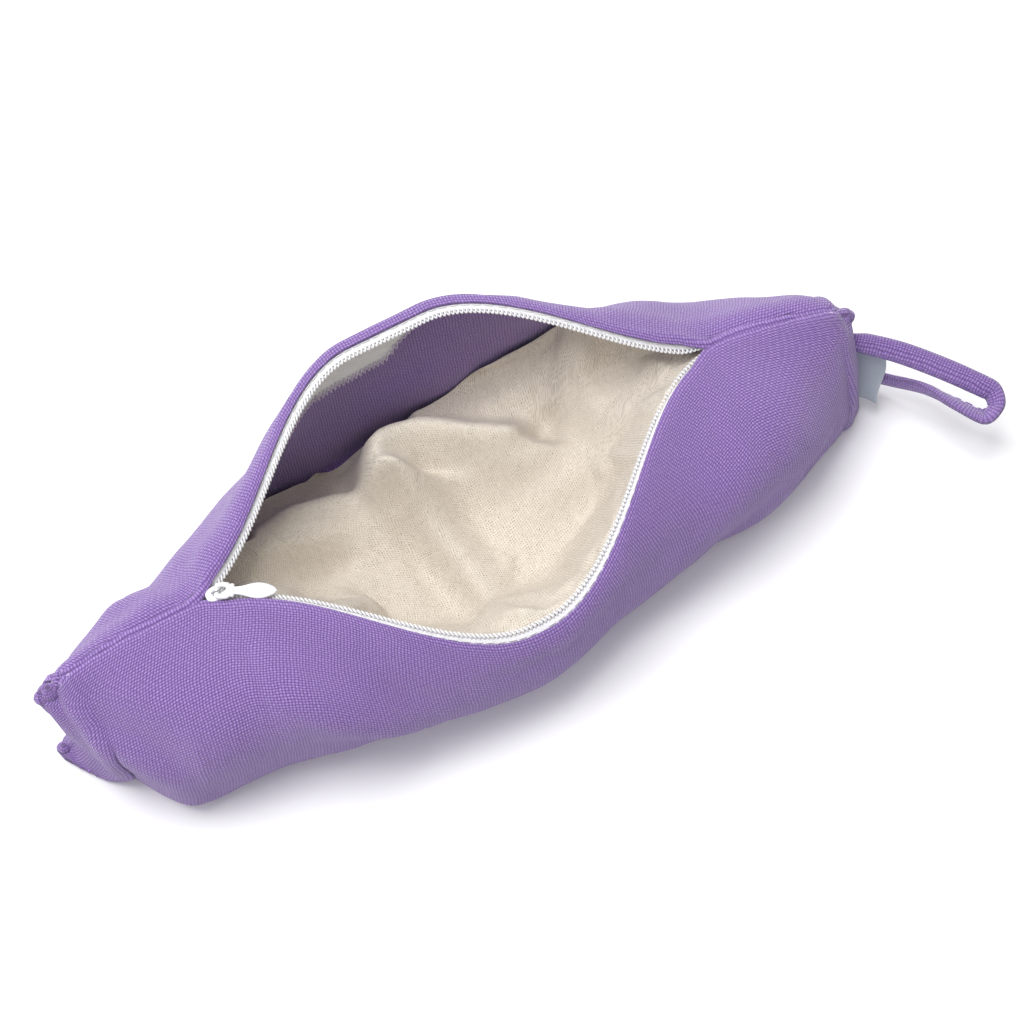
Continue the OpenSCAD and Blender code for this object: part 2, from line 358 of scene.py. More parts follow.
def ring_faces(rings, sides, closed=False):
    """Quads between neighbouring rings of points, and from the last to the first if closed."""
    faces = []
    for i in range(rings if closed else rings - 1):
        j = (i + 1) % rings
        for k in range(sides):
            m = (k + 1) % sides
            faces.append([i * sides + k, i * sides + m, j * sides + m, j * sides + k])
    return faces


def capped_rings(rings, sides):
    """Ring faces with one flat face over each end."""
    last = (rings - 1) * sides
    caps = [list(range(sides))[::-1], [last + k for k in range(sides)]]
    return ring_faces(rings, sides) + caps


def rim_loop(rows, cols):
    """The numbers of the points round the edge of a grid, in order."""
    top = list(range(cols))
    right = [r * cols + cols - 1 for r in range(1, rows)]
    bottom = [(rows - 1) * cols + c for c in range(cols - 2, -1, -1)]
    left = [r * cols for r in range(rows - 2, 0, -1)]
    return top + right + bottom + left


def sheet(name, face, normal, thick, material, uv):
    """A closed piece of cloth: a grid, a second one set off against the normals, and a rim."""
    rows, cols = face.shape[:2]
    back = face - normal * thick
    count = rows * cols
    points = np.vstack([face.reshape(-1, 3), back.reshape(-1, 3)])
    loop = rim_loop(rows, cols)
    mid_r, mid_c = rows // 2, cols // 2
    du = face[mid_r, mid_c + 1] - face[mid_r, mid_c]
    dv = face[mid_r + 1, mid_c] - face[mid_r, mid_c]
    with_normal = np.dot(np.cross(du, dv), normal[mid_r, mid_c]) > 0
    faces = grid_faces(rows, cols, 0, not with_normal) + grid_faces(rows, cols, count, with_normal)
    for i, a in enumerate(loop):
        b = loop[(i + 1) % len(loop)]
        faces.append([a, a + count, b + count, b] if with_normal else [b, b + count, a + count, a])
    flat_uv = np.vstack([uv.reshape(-1, 2), uv.reshape(-1, 2)])
    obj = make(name, points, faces, material, flat_uv)
    mark_rim(obj, loop, count)
    return obj


def mark_rim(obj, loop, count):
    """Makes both edges of a sheet's rim sharp."""
    sharp = set()
    for i, a in enumerate(loop):
        b = loop[(i + 1) % len(loop)]
        sharp.add((min(a, b), max(a, b)))
        sharp.add((min(a, b) + count, max(a, b) + count))
    flags = [tuple(sorted(e.vertices)) in sharp for e in obj.data.edges]
    attribute = obj.data.attributes.get("sharp_edge")
    if attribute is None:
        attribute = obj.data.attributes.new("sharp_edge", "BOOLEAN", "EDGE")
    attribute.data.foreach_set("value", flags)


def tube(name, path, radius, material, sides=8, closed=False):
    """A round cord along a path. radius is one number or one per point."""
    path = np.asarray(path, float)
    n = len(path)
    radius = np.broadcast_to(np.asarray(radius, float), (n,))
    if closed:
        tangent = np.roll(path, -1, 0) - np.roll(path, 1, 0)
    else:
        tangent = np.gradient(path, axis=0)
    tangent /= np.maximum(np.linalg.norm(tangent, axis=1, keepdims=True), 1e-9)
    side = np.zeros_like(path)
    ref = np.array([0, 0, 1.0]) if abs(tangent[0, 2]) < 0.9 else np.array([1.0, 0, 0])
    last = np.cross(tangent[0], ref)
    last /= np.linalg.norm(last)
    for i in range(n):
        last = last - tangent[i] * np.dot(last, tangent[i])
        last /= np.linalg.norm(last)
        side[i] = last
    up = np.cross(tangent, side)
    a = np.linspace(0, 2 * math.pi, sides, endpoint=False)
    ring = np.cos(a)[None, :, None] * side[:, None] + np.sin(a)[None, :, None] * up[:, None]
    points = (path[:, None] + ring * radius[:, None, None]).reshape(-1, 3)
    faces = ring_faces(n, sides, True) if closed else capped_rings(n, sides)
    uv = np.stack([np.tile(np.arange(sides) * 2 * math.pi / sides, n),
                   np.repeat(np.arange(n), sides)], -1)
    return make(name, points, faces, material, uv)


def join(name, objs):
    """One mesh out of several."""
    points, faces, uvs, base = [], [], [], 0
    has_uv = all(o.data.uv_layers for o in objs)
    for o in objs:
        mesh = o.data
        co = np.zeros(len(mesh.vertices) * 3)
        mesh.vertices.foreach_get("co", co)
        points.append(co.reshape(-1, 3) / MM)
        for p in mesh.polygons:
            faces.append([base + i for i in p.vertices])
        if has_uv:
            uv = np.zeros((len(mesh.vertices), 2))
            for loop, data in zip(mesh.loops, mesh.uv_layers[0].data):
                uv[loop.vertex_index] = data.uv
            uvs.append(uv)
        base += len(mesh.vertices)
    material = objs[0].data.materials[0]
    for o in objs:
        mesh = o.data
        bpy.data.objects.remove(o)
        bpy.data.meshes.remove(mesh)
    return make(name, np.vstack(points), faces, material, np.vstack(uvs) if has_uv else None)


# ---------------------------------------------------------------- materials


class Nodes:
    """Short names for building a material out of nodes."""

    def __init__(self, name):
        self.material = bpy.data.materials.new(name)
        self.material.use_nodes = True
        self.tree = self.material.node_tree
        self.bsdf = next(n for n in self.tree.nodes if n.type == "BSDF_PRINCIPLED")

    def put(self, target, value):
        if isinstance(value, bpy.types.NodeSocket):
            self.tree.links.new(value, target)
        else:
            target.default_value = value

    def put_color(self, target, value):
        if isinstance(value, bpy.types.NodeSocket):
            self.tree.links.new(value, target)
        else:
            target.default_value = (*value, 1.0)

    def math(self, operation, a, b=0.0):
        node = self.tree.nodes.new("ShaderNodeMath")
        node.operation = operation
        for slot, value in zip(node.inputs, (a, b)):
            self.put(slot, value)
        return node.outputs[0]

    def add(self, a, b):
        return self.math("ADD", a, b)

    def times(self, a, b):
        return self.math("MULTIPLY", a, b)

    def noise(self, vector, scale, detail=2.0, roughness=0.5):
        node = self.tree.nodes.new("ShaderNodeTexNoise")
        self.put(node.inputs["Vector"], vector)
        node.inputs["Scale"].default_value = scale
        node.inputs["Detail"].default_value = detail
        node.inputs["Roughness"].default_value = roughness
        return node.outputs[0]

    def ramp(self, value, low, high, out_low=0.0, out_high=1.0):
        node = self.tree.nodes.new("ShaderNodeMapRange")
        node.clamp = True
        for slot, item in zip(node.inputs, (value, low, high, out_low, out_high)):
            self.put(slot, item)
        return node.outputs[0]

    def mix(self, factor, a, b):
        node = self.tree.nodes.new("ShaderNodeMix")
        node.data_type = "RGBA"
        self.put(node.inputs[0], factor)
        self.put_color(node.inputs[6], a)
        self.put_color(node.inputs[7], b)
        return node.outputs[2]

    def bump(self, height, distance, strength):
        node = self.tree.nodes.new("ShaderNodeBump")
        self.put(node.inputs["Height"], height)
        node.inputs["Distance"].default_value = distance
        node.inputs["Strength"].default_value = strength
        return node.outputs[0]

    def cloth_axes(self):
        """The cloth coordinates as one vector, then across and down by themselves."""
        uv = self.tree.nodes.new("ShaderNodeUVMap")
        uv.uv_map = "cloth"
        split = self.tree.nodes.new("ShaderNodeSeparateXYZ")
        self.tree.links.new(uv.outputs[0], split.inputs[0])
        return uv.outputs[0], split.outputs[0], split.outputs[1]

    def place(self):
        return self.tree.nodes.new("ShaderNodeNewGeometry").outputs["Position"]

    def object_place(self):
        return self.tree.nodes.new("ShaderNodeTexCoord").outputs["Object"]

    def finish(self, color, roughness, normal=None, **extra):
        names = {"sheen": "Sheen Weight", "sheen_rough": "Sheen Roughness", "metal": "Metallic",
                 "specular": "Specular IOR Level", "coat": "Coat Weight"}
        self.put_color(self.bsdf.inputs["Base Color"], color)
        self.put(self.bsdf.inputs["Roughness"], roughness)
        if normal is not None:
            self.tree.links.new(normal, self.bsdf.inputs["Normal"])
        for key, value in extra.items():
            self.put(self.bsdf.inputs[names[key]], value)
        return self.material


# Spacing of the threads across and down, in millimetres.
CANVAS_PITCH = (0.92, 0.8)
CALICO_PITCH = (0.84, 0.76)
TAPE_RIB = 0.8
LABEL_RIB = 0.45


def thread_wave(n, axis, pitch):
    """0 between the threads and 1 on top of each."""
    return n.math("ABSOLUTE", n.math("SINE", n.times(axis, math.pi / pitch)))


def thread_height(n, crown, run):
    """The height of one set of threads, a little lower where it dives under the other."""
    return n.times(n.math("POWER", crown, 0.6), n.add(0.35, n.times(run, 0.65)))


def plain_weave(n, u, v, pitch):
    """Over-and-under threads: 0 in the gaps, 1 on the crown. Also says which set is on top."""
    across = thread_wave(n, u, pitch[0])
    down = thread_wave(n, v, pitch[1])
    cell = n.add(n.math("FLOOR", n.math("DIVIDE", u, pitch[0])),
                 n.math("FLOOR", n.math("DIVIDE", v, pitch[1])))
    odd = n.math("PINGPONG", cell, 1.0)
    first = n.times(thread_height(n, across, down), odd)
    second = n.times(thread_height(n, down, across), n.math("SUBTRACT", 1.0, odd))
    return n.add(first, second), odd


def shaken(n, vector, axis, amount, scale):
    """A cloth axis with slightly uneven threads."""
    drift = n.noise(vector, scale, 2.0)
    return n.add(axis, n.times(n.math("SUBTRACT", drift, 0.5), amount))


def canvas_material(name, dark, light, gap):
    """Plain woven canvas: beads of thread in rows, a little uneven. Its colour follows the weave
    height, with painted shade in the gaps and a painted highlight on the thread crowns.
    """
    n = Nodes(name)
    vector, u, v = n.cloth_axes()
    u2 = shaken(n, vector, u, 1.1, 0.16)
    v2 = shaken(n, vector, v, 1.1, 0.13)
    weave, odd = plain_weave(n, u2, v2, CANVAS_PITCH)
    fuzz = n.noise(vector, 2.6, 3.0, 0.7)
    thread = n.noise(vector, 0.9, 2.0, 0.6)
    wide = n.noise(vector, 0.05, 2.0)
    weave = n.times(weave, n.ramp(thread, 0.2, 0.8, 0.7, 1.15))
    weave = n.times(weave, n.ramp(odd, 0.0, 1.0, 0.80, 1.0))
    # Painted shade: the gaps between the threads, and the threads where they dip under, are coloured
    # darker.
    tone = n.mix(n.ramp(weave, 0.12, 0.72), gap, dark)
    crown = n.times(n.ramp(weave, 0.5, 0.95), n.ramp(fuzz, 0.25, 0.7))
    # Painted highlight: the crowns of the threads are coloured lighter.
    tone = n.mix(crown, tone, light)
    tone = n.mix(n.times(wide, 0.15), tone, light)
    normal = n.bump(n.add(weave, n.times(fuzz, 0.35)), 0.0004, 0.9)
    return n.finish(tone, 0.95, normal, sheen=0.4, sheen_rough=0.5, specular=0.15)


def calico_material():
    """Open woven unbleached calico with slubs, painted shade in the holes between the threads and a few
    brown flecks.
    """
    n = Nodes("calico")
    vector, u, v = n.cloth_axes()
    u2 = shaken(n, vector, shaken(n, vector, u, 0.9, 0.25), 0.9, 1.3)
    v2 = shaken(n, vector, shaken(n, vector, v, 0.9, 0.22), 0.8, 1.1)
    weave, _ = plain_weave(n, u2, v2, CALICO_PITCH)
    slub = n.noise(vector, 0.6, 3.0, 0.7)
    fleck = n.ramp(n.noise(vector, 0.8, 1.0), 0.80, 0.82)
    patch = n.ramp(n.noise(vector, 0.3, 3.0, 0.7), 0.36, 0.6, 0.25, 1.0)
    across = thread_wave(n, u2, CALICO_PITCH[0])
    down = thread_wave(n, v2, CALICO_PITCH[1])
    # Painted shade: the holes between the threads are marked here and coloured dark brown below.
    hole_shade = n.times(n.ramp(n.math("MAXIMUM", across, down), 0.42, 0.72, 1.0, 0.0), patch)
    tone = n.mix(n.ramp(slub, 0.3, 0.75), (0.63, 0.565, 0.48), (0.77, 0.71, 0.62))
    tone = n.mix(n.times(hole_shade, 0.85), tone, (0.20, 0.16, 0.12))
    tone = n.mix(n.times(fleck, 0.7), tone, (0.36, 0.20, 0.10))
    normal = n.bump(n.add(weave, n.times(slub, 0.5)), 0.00016, 0.7)
    return n.finish(tone, 0.95, normal, sheen=0.15, specular=0.1)


def tape_material():
    """White herringbone zip tape, with painted shade in the grooves and a painted highlight on the
    ribs.
    """
    n = Nodes("zip_tape")
    vector, u, v = n.cloth_axes()
    zig = n.math("PINGPONG", u, 2.4)
    ribs = n.math("SINE", n.times(n.add(v, zig), math.pi * 2 / TAPE_RIB))
    grain = n.noise(vector, 6.0, 2.0)
    height = n.add(ribs, n.times(grain, 0.8))
    # Painted shade and highlight: the tone follows the rib height, darker in the grooves and lighter on
    # the ribs, with some grain.
    tone = n.mix(n.ramp(height, -1.0, 1.4), (0.70, 0.70, 0.72), (0.90, 0.90, 0.91))
    normal = n.bump(height, 0.0001, 0.6)
    return n.finish(tone, 0.85, normal, sheen=0.2, specular=0.25)


def plain_material(name, color, roughness, grain, scale, **extra):
    """One color with a fine grain, grain millimetres deep."""
    n = Nodes(name)
    place = n.object_place()
    spots = n.noise(place, scale, 3.0, 0.6)
    shade = tuple(c * 0.9 for c in color)
    tone = n.mix(spots, shade, color)
    return n.finish(tone, roughness, n.bump(spots, grain * MM, 0.5), **extra)


def label_material():
    """Blank satin ribbon with a fine rib."""
    n = Nodes("label_ribbon")
    vector, _, v = n.cloth_axes()
    rib = n.math("SINE", n.times(v, math.pi * 2 / LABEL_RIB))
    grain = n.noise(vector, 3.0, 2.0)
    tone = n.mix(n.ramp(grain, 0.3, 0.7), (0.36, 0.41, 0.47), (0.47, 0.52, 0.58))
    return n.finish(tone, 0.6, n.bump(rib, 0.00004, 0.6), sheen=0.2)


# Canvas colours: the thread, then a painted highlight for the thread crowns, then a painted shade for
# the gaps.
CANVAS = canvas_material("canvas", (0.31, 0.185, 0.51), (0.47, 0.33, 0.70), (0.11, 0.05, 0.22))
CALICO = calico_material()
TAPE = tape_material()
COIL = plain_material("nylon_coil", (0.86, 0.86, 0.88), 0.42, 0.02, 2500.0, specular=0.5)
ENAMEL = plain_material("white_enamel", (0.90, 0.90, 0.91), 0.3, 0.01, 1500.0, coat=0.3)
STEEL = plain_material("bare_steel", (0.62, 0.62, 0.64), 0.28, 0.02, 3000.0, metal=1.0)
THREAD = plain_material("thread", (0.20, 0.13, 0.38), 0.8, 0.05, 2500.0)
PALE_THREAD = plain_material("pale_thread", (0.62, 0.55, 0.70), 0.8, 0.05, 2500.0)
WHITE_THREAD = plain_material("white_thread", (0.82, 0.80, 0.80), 0.8, 0.05, 2500.0)
LABEL = label_material()

# ---------------------------------------------------------------- canvas pieces

# Thickness of the canvas. The grid is its inner face and the normals point into the pouch, so the
# cloth is added on the outside. It gets thinner towards both ends.
CANVAS_T = 1.15
x_line, LAT = lattice()
to_end = np.minimum(x_line - STATIONS[0], STATIONS[-1] - x_line)
LAT_N = normals(LAT) * (0.2 + 0.8 * smooth(to_end / 6))[None, :, None]
NEAR_UV = cloth_uv(LAT, True)
FAR_UV = cloth_uv(LAT, False)
MIDDLE = int(np.argmin(abs(x_line)))
LEFT = slice(0, MIDDLE + 1)
RIGHT = slice(MIDDLE, NX)


def row_at(v):
    """The grid row at a place round the pouch."""
    return int(round((v - GIRTH[0]) / (GIRTH[-1] - GIRTH[0]) * (NV - 1)))


near_last = row_at(GIRTH[NEAR_ROWS])
far_first = row_at(GIRTH[FAR_ROWS])
NEAR_V = slice(0, near_last + 1)
BASE_V = slice(near_last, far_first + 1)
FAR_V = slice(far_first, NV)


# The CAD nodes that each piece stands for.
STANDS_FOR = {
    "canvas_near_left": ["front_panel", "left_end"],
    "canvas_near_right": ["right_end"],
    "canvas_far_left": ["back_panel"],
    "canvas_base": ["base_panel"],
    "zip_tape_near_left": ["front_tape", "left_tape_end"],
    "zip_tape_far_left": ["right_tape_end"],
    "zip_coil_near_left": ["front_coil"],
    "zip_coil_far_left": ["back_coil"],
    "zip_thread_near_left": ["front_zip_thread"],
    "zip_thread_far_left": ["back_zip_thread"],
    "tape_flap_left": ["back_tape"],
    "tape_flap_right": ["back_tape"],
    "overlock_ladder_left": ["back_overlock"],
    "overlock_ladder_right": ["back_overlock"],
    "seam_thread_left": ["left_seam_thread"],
    "seam_thread_right": ["right_seam_thread"],
    "zip_end_tacks": ["end_tacks"],
    "slider_shell": ["slider_body"],
    "bridge_staple": ["slider_bridge"],
    "pull_drop": ["pull_tab"],
    "strap_webbing": ["strap_loop"],
    "label_ribbon": ["label_tab"],
    "calico_near_left": ["lining_front"],
    "calico_middle": ["lining_floor"],
}


def dress(obj):
    """Hides the CAD nodes that a piece stands for."""
    if obj.name in STANDS_FOR:
        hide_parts(*STANDS_FOR[obj.name])


def rides(obj, body):
    """Fixes a piece to a body."""
    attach(obj, body)
    dress(obj)


def bends(obj):
    """Bakes the transform of half a wall into its mesh and hides the CAD nodes it stands for. The piece
    is built staying at the closed seam and turned with the wall in the middle.
    """
    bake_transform(obj)
    dress(obj)


def canvas():
    """The four half walls and the base."""
    for wall, band, uv in (("near", NEAR_V, NEAR_UV), ("far", FAR_V, FAR_UV)):
        for side, cols, word in ((-1, LEFT, "left"), (1, RIGHT, "right")):
            name = f"canvas_{wall}_{word}"
            piece = sheet(name, LAT[band, cols], LAT_N[band, cols], CANVAS_T, CANVAS, uv[band, cols])
            bends(piece)
    base = sheet("canvas_base", LAT[BASE_V], LAT_N[BASE_V], CANVAS_T, CANVAS, NEAR_UV[BASE_V])
    rides(base, "case")


canvas()


def seam_core(side, word):
    """Folded canvas inside the closed top seam, seen in the groove between the two rolls."""
    x = np.linspace(82.5, 135 if side < 0 else 129, 60) * side
    y, z = seam_line(x)
    path = np.stack([x, y, z - 0.9], -1)
    rides(tube(f"seam_core_{word}", path, 1.1, CANVAS, 10), "case")


seam_core(-1, "left")
seam_core(1, "right")


def side_core(side, word):
    """The closed side seam, from the top corner down to the base."""
    column = LAT[:, 0 if side < 0 else -1]
    near = column[: row_at(75)][::-1]
    far = column[row_at(140) :]
    z = np.linspace(column[0, 2] + 0.4, 2.4, 60)
    x, y = [(np.interp(z, near[:, 2], near[:, k]) + np.interp(z, far[:, 2], far[:, k])) / 2
            for k in (0, 1)]
    path = np.stack([x - 0.5 * side, y, z], -1)
    down = z[0] - z
    round_top = np.sqrt(np.clip(down / 2.0, 0.15, 1))
    radius = (1.2 + 0.9 * bell(down - 2.4, 2.6)) * round_top
    rides(tube(f"side_core_{word}", path, radius, CANVAS, 12), "case")


side_core(-1, "left")
side_core(1, "right")


def corner_roll(name, centre, radii):
    """The seam allowance rolled up inside a corner: a small soft lump of canvas."""
    rows, cols = 20, 28
    a = np.linspace(-math.pi / 2, math.pi / 2, rows)[1:-1, None]
    b = np.linspace(0, 2 * math.pi, cols, endpoint=False)[None, :]
    ball = np.stack([np.cos(a) * np.cos(b), np.cos(a) * np.sin(b), np.sin(a) + 0 * b], -1)
    swell = 1 + 0.07 * np.sin(3 * b + 2 * a) + 0.05 * np.sin(5 * a + b)
    points = np.array(centre) + ball * swell[..., None] * np.array(radii)
    uv = np.stack(np.broadcast_arrays(b * radii[0], a * radii[2]), -1)
    faces = capped_rings(rows - 2, cols)
    piece = make(name, points.reshape(-1, 3), faces, CANVAS, uv.reshape(-1, 2))
    rides(piece, "case")


corner_roll("corner_roll_left", (-133.2, -1.2, 45.6), (3.6, 3.0, 3.4))
corner_roll("corner_roll_right", (127.4, -7.6, 44.4), (3.4, 3.0, 3.2))
corner_roll("corner_roll_low", (-138.6, -4.4, 2.5), (2.4, 2.0, 1.9))


# ---------------------------------------------------------------- zip

# The coil is a helix of wire: COIL_OUT is its radius across the zip and COIL_UP its radius upwards.
COIL_PITCH = 1.3
COIL_OUT = 0.66
COIL_UP = 0.50
COIL_WIRE = 0.31
TAPE_END = 84.0
TAPE_REACH = 1.95
TAPE_TOP = -0.12
TAPE_UNDER = -0.57
TAPE_T = 0.45
STITCH = 2.3
STITCH_STEP = 3.1
STITCH_REACH = 0.45


def arc_length(points):
    """The length along a line of points, from its start to each of them."""
    return np.concatenate([[0], np.cumsum(np.linalg.norm(np.diff(points, axis=0), axis=1))])


def half_line(side, last, count):
    """Even steps between the middle and one end of the zip, listed from left to right."""
    x = np.linspace(0, last, count) * side
    return x if side > 0 else x[::-1]


def tape_half(wall, side, word):
    """The white band of tape that shows between the canvas and the teeth."""
    x = half_line(side, TAPE_END, 260)
    reaches = np.linspace(-0.5, TAPE_REACH, 8)
    top, under = [
        np.stack([zip_point(x, wall, r, lift - 0.25 * smooth(-r / 0.4)) for r in reaches])
        for lift in (TAPE_TOP, TAPE_UNDER)
    ]
    up = top - under
    up /= np.linalg.norm(up, axis=-1, keepdims=True)
    length = arc_length(top[0])
    uv = np.stack(np.broadcast_arrays(length[None, :], (reaches * 1.6)[:, None]), -1)
    bends(sheet(f"zip_tape_{wall}_{word}", top, up, TAPE_T, TAPE, uv))


def coil_half(wall, side, word):
    """The nylon coil: a helix whose pitch is even along the open edge."""
    x = half_line(side, TAPE_END - 1, 900)
    length = arc_length(zip_point(x, wall, COIL_REACH, 0.0))
    count = int(length[-1] / COIL_PITCH * 10)
    s = np.linspace(0, length[-1], count)
    phase = 2 * math.pi * s / COIL_PITCH
    at = np.interp(s, length, x)
    reach = COIL_REACH + COIL_OUT * np.cos(phase)
    path = zip_point(at, wall, reach, 0.05 + COIL_UP * np.sin(phase))
    bends(tube(f"zip_coil_{wall}_{word}", path, COIL_WIRE, COIL, 6))


def dashes(name, paths, radius, material):
    """Short rounded lengths of thread as one piece."""
    bits = []
    for k, path in enumerate(paths):
        swell = radius * np.sin(np.linspace(0.35, math.pi - 0.35, len(path))) ** 0.5
        bits.append(tube(f"{name}_{k}", path, swell, material, 6))
    return join(name, bits)


def zip_stitches(wall, side, word):
    """Sewing thread along the tape, just inside the canvas edge."""
    paths = []
    for x0 in np.arange(2.0, TAPE_END - 6, STITCH_STEP):
        x = np.linspace(x0, x0 + STITCH, 6) * side
        arch = 0.10 + 0.10 * np.sin(np.linspace(0, math.pi, 6))
        paths.append(zip_point(x, wall, STITCH_REACH, arch))
    bends(dashes(f"zip_thread_{wall}_{word}", paths, 0.17, WHITE_THREAD))


def zips():
    """Tape, coil and stitches for each half of each wall."""
    for wall in ("near", "far"):
        for side, word in ((-1, "left"), (1, "right")):
            tape_half(wall, side, word)
            coil_half(wall, side, word)
            zip_stitches(wall, side, word)


zips()

# ---------------------------------------------------------------- loose far tape and overlock

INSIDE_GAP = CANVAS_T + 0.7


def far_inside(x, z):
    """Where a cloth lying against the inside of the far canvas wall is, at x and height z."""
    col = np.clip(np.searchsorted(x_line, np.ravel(x)), 0, NX - 1)
    flat = np.ravel(np.broadcast_to(z, np.shape(x)))
    got = np.zeros(len(col))
    for c in np.unique(col):
        heights = LAT[FAR_V, c, 2]
        depths = LAT[FAR_V, c, 1]
        order = np.argsort(heights)
        pick = col == c
        got[pick] = np.interp(flat[pick], heights[order], depths[order]) - INSIDE_GAP
    return got.reshape(np.shape(x))


FLAP_LEFT = -80.0
FLAP_RIGHT = 11.0


def flap_depth(x):
    """How far the free part of the far tape hangs down inside."""
    grow = 4.5 * smooth((x + 68) / 30) + 9.5 * smooth((x + 38) / 26)
    return 1.2 + grow * smooth((FLAP_RIGHT - x) / 15)


def flap_point(x, down):
    """A point of the loose tape, down millimetres below its sewn edge."""
    top = zip_point(x, "far", 1.2, -0.8)
    z = top[..., 2] - down
    y = np.minimum(far_inside(x, z) - 0.3, top[..., 1] + 0.12 * down)
    y = y - 0.5 * np.sin(x / 7.0) * smooth(down / 8) - 0.5
    return np.stack([x + 0 * down, y, z], -1)


def flap_ripple(x):
    """Unevenness of the loose tape's free edge."""
    return 0.35 * np.sin(x / 2.3) + 0.3 * np.sin(x / 5.1 + 1)


FLAP_HALVES = ((FLAP_LEFT, 0.0, -1, "left"), (0.0, FLAP_RIGHT, 1, "right"))


def far_flap(first, last, side, word):
    """The loose part of the far tape."""
    rows = 18
    count = int((last - first) / 0.55)
    x1 = np.linspace(first, last, count)
    x = np.broadcast_to(x1, (rows, count))
    down = np.linspace(0, 1, rows)[:, None] * (flap_depth(x1) + flap_ripple(x1))[None, :]
    grid = flap_point(x, down)
    n = normals(grid)
    n *= -np.sign(n[rows // 2, count // 2, 1])
    piece = sheet(f"tape_flap_{word}", grid, n, 0.4, TAPE, cloth_uv(grid, True))
    bends(piece)


def overlock(first, last, word):
    """A zigzag of thread over the free lower edge of the far tape."""
    step = 0.75
    x = np.arange(first, last + 0.1, step)
    kick = np.where(np.arange(len(x)) % 2 == 0, -2.4, 1.0)
    down = np.maximum(flap_depth(x) + flap_ripple(x) + kick, 0.3)
    path = flap_point(x, down)
    path[:, 1] -= 0.45
    fine = np.linspace(0, len(x) - 1, len(x) * 4)
    path = np.stack([np.interp(fine, np.arange(len(x)), path[:, k]) for k in range(3)], -1)
    bends(tube(f"overlock_ladder_{word}", path, 0.22, PALE_THREAD, 5))


for half in FLAP_HALVES:
    far_flap(*half)
overlock(FLAP_LEFT + 6, -0.3, "left")
overlock(0.3, FLAP_RIGHT - 0.5, "right")

# ---------------------------------------------------------------- seam threads and tacks


def seam_threads(side, word):
    """Topstitching in the groove of the closed top seam."""
    paths = []
    last = 131 if side < 0 else 126
    for x0 in np.arange(86, last - 3, 3.0):
        x = np.linspace(x0, x0 + 2.2, 6) * side
        y, z = seam_line(x)
        arch = 0.25 * np.sin(np.linspace(0, math.pi, 6))
        paths.append(np.stack([x, y - 0.6, z + 1.15 + arch], -1))
    rides(dashes(f"seam_thread_{word}", paths, 0.26, PALE_THREAD), "case")


seam_threads(-1, "left")
seam_threads(1, "right")


def tacks():
    """Thread bars that close both zip ends."""
    paths = []
    for side in (-1, 1):
        for k in range(4):
            a = np.linspace(-1, 1, 8)
            x = np.full(8, side * (83.0 + 0.55 * k))
            y, z = seam_line(x)
            paths.append(np.stack([x, y + 1.5 * a, z + 0.55 - 0.5 * a * a], -1))
    rides(dashes("zip_end_tacks", paths, 0.27, WHITE_THREAD), "case")


tacks()

# ---------------------------------------------------------------- slider and pull

# Height of the closed zip in the middle, and how far the pull is turned about Z.
SEAM_TOP = float(seam_line(np.array([0.0]))[1][0])
PULL_YAW = -28.0
SLIDER_HALF = 4.0


def rounded(half_x, half_y, power, count=48):
    """A rounded rectangle as a superellipse."""
    a = np.linspace(0, 2 * math.pi, count, endpoint=False)
    c, s = np.cos(a), np.sin(a)
    return np.stack([half_x * np.sign(c) * abs(c) ** (2 / power),
                     half_y * np.sign(s) * abs(s) ** (2 / power)], -1)


def slab(name, outline, low, high, round_by, material):
    """A flat piece with rounded rims. The outline runs anticlockwise and is star-shaped."""
    outline = np.asarray(outline, float)
    centre = (outline.min(0) + outline.max(0)) / 2
    half = (outline.max(0) - outline.min(0)) / 2
    turns = np.linspace(0, math.pi / 2, 5)
    rings = [(round_by * (1 - math.sin(a)), low + round_by * (1 - math.cos(a))) for a in turns]
    rings += [(round_by * (1 - math.sin(a)), high - round_by * (1 - math.cos(a))) for a in turns[::-1]]
    n = len(outline)
    points = []
    for inset, z in rings:
        ring = centre + (outline - centre) * (1 - inset / half)
        points.append(np.column_stack([ring, np.full(n, z)]))
    points = np.vstack(points + [[[*centre, low]], [[*centre, high]]])
    faces = ring_faces(len(rings), n)
    bottom = len(rings) * n
    for k in range(n):
        m = (k + 1) % n
        faces.append([bottom, m, k])
        faces.append([bottom + 1, bottom - n + k, bottom - n + m])
    return make(name, points, faces, material)


def shift(obj, offset, turn=0.0):
    """Turns a mesh about Z, in degrees, then moves it by millimetres."""
    count = len(obj.data.vertices)
    co = np.zeros(count * 3)
    obj.data.vertices.foreach_get("co", co)
    co = co.reshape(-1, 3)
    a = math.radians(turn)
    x = co[:, 0] * math.cos(a) - co[:, 1] * math.sin(a)
    y = co[:, 0] * math.sin(a) + co[:, 1] * math.cos(a)
    co = np.stack([x, y, co[:, 2]], -1) + np.asarray(offset) * MM
    obj.data.vertices.foreach_set("co", co.ravel())
    obj.data.update()


def middle_x(low, high):
    """The middle of a box along X, in millimetres."""
    return (low[0] + high[0]) / 2 / MM


